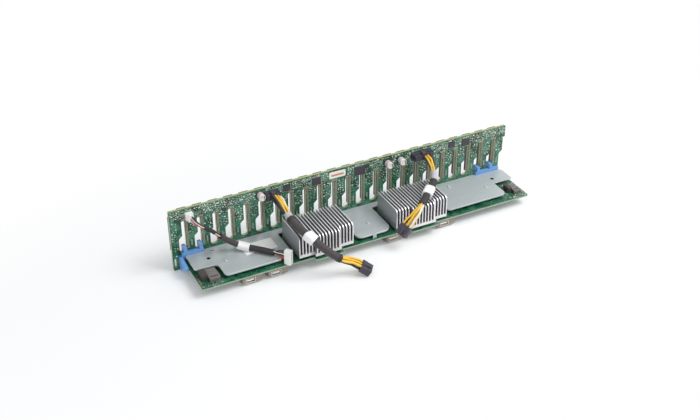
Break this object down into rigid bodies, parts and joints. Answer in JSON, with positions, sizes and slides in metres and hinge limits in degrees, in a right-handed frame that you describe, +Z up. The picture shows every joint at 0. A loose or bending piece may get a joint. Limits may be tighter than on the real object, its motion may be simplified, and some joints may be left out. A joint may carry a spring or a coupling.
{
  "type": "drive backplane board",
  "caption": "Upright drive backplane board with bottle-shaped air slots, a level expander board in front with finned heatsinks and a sheet bracket, release latches and short cables.",
  "frame": {"origin": "centre of the main board's bottom edge, at half its thickness", "axes": "+X along the row of drive bays, -Y to the system side with the expander board, +Z up"},
  "size_m": [0.425, 0.1215, 0.075],
  "materials": {
    "board": "green solder mask, semi gloss",
    "bracket_sheet": "plated sheet, satin",
    "fins": "bare extrusion, satin",
    "chip": "moulded package, matte",
    "pad": "soft pad, matte",
    "latch": "moulded, satin",
    "black_plastic": "moulded, matte",
    "white_plastic": "moulded, satin",
    "shell": "formed sheet, bright",
    "steel": "plated, satin",
    "can": "drawn can, bright",
    "sleeve": "braided sleeve, matte"
  },
  "bodies": {
    "root": {"main_board": "board", "expander_board": "board", "support_bracket": "bracket_sheet", "heatsink_left": "fins", "heatsink_right": "fins", "expander_chip_left": "chip", "expander_chip_right": "chip", "thermal_pads": "pad", "release_latch_left": "latch", "release_latch_right": "latch", "board_headers": "black_plastic", "board_sockets": "black_plastic", "port_shells": "shell", "edge_connector_left": "black_plastic", "edge_connector_right": "black_plastic", "power_header_left": "black_plastic", "power_header_right": "black_plastic", "signal_header": "white_plastic", "power_plug_left": "black_plastic", "power_plug_right": "black_plastic", "signal_plug": "white_plastic", "power_end_plug_left": "black_plastic", "power_end_plug_right": "black_plastic", "signal_end_plug": "white_plastic", "power_cable_left": "sleeve", "power_cable_right": "sleeve", "signal_cable": "sleeve", "can_capacitors": "can", "bracket_standoffs": "steel", "bracket_rivets": "steel", "board_chips": "chip", "status_lamp_blocks": "white_plastic", "cable_port_1": "black_plastic", "cable_port_2": "black_plastic", "cable_port_3": "black_plastic", "cable_port_4": "black_plastic", "drive_connector_01": "black_plastic", "drive_connector_02": "black_plastic", "drive_connector_03": "black_plastic", "drive_connector_04": "black_plastic", "drive_connector_05": "black_plastic", "drive_connector_06": "black_plastic", "drive_connector_07": "black_plastic", "drive_connector_08": "black_plastic", "drive_connector_09": "black_plastic", "drive_connector_10": "black_plastic", "drive_connector_11": "black_plastic", "drive_connector_12": "black_plastic", "drive_connector_13": "black_plastic", "drive_connector_14": "black_plastic", "drive_connector_15": "black_plastic", "drive_connector_16": "black_plastic", "drive_connector_17": "black_plastic", "drive_connector_18": "black_plastic", "drive_connector_19": "black_plastic", "drive_connector_20": "black_plastic", "drive_connector_21": "black_plastic", "drive_connector_22": "black_plastic", "drive_connector_23": "black_plastic", "drive_connector_24": "black_plastic"}
  },
  "joints": []
}
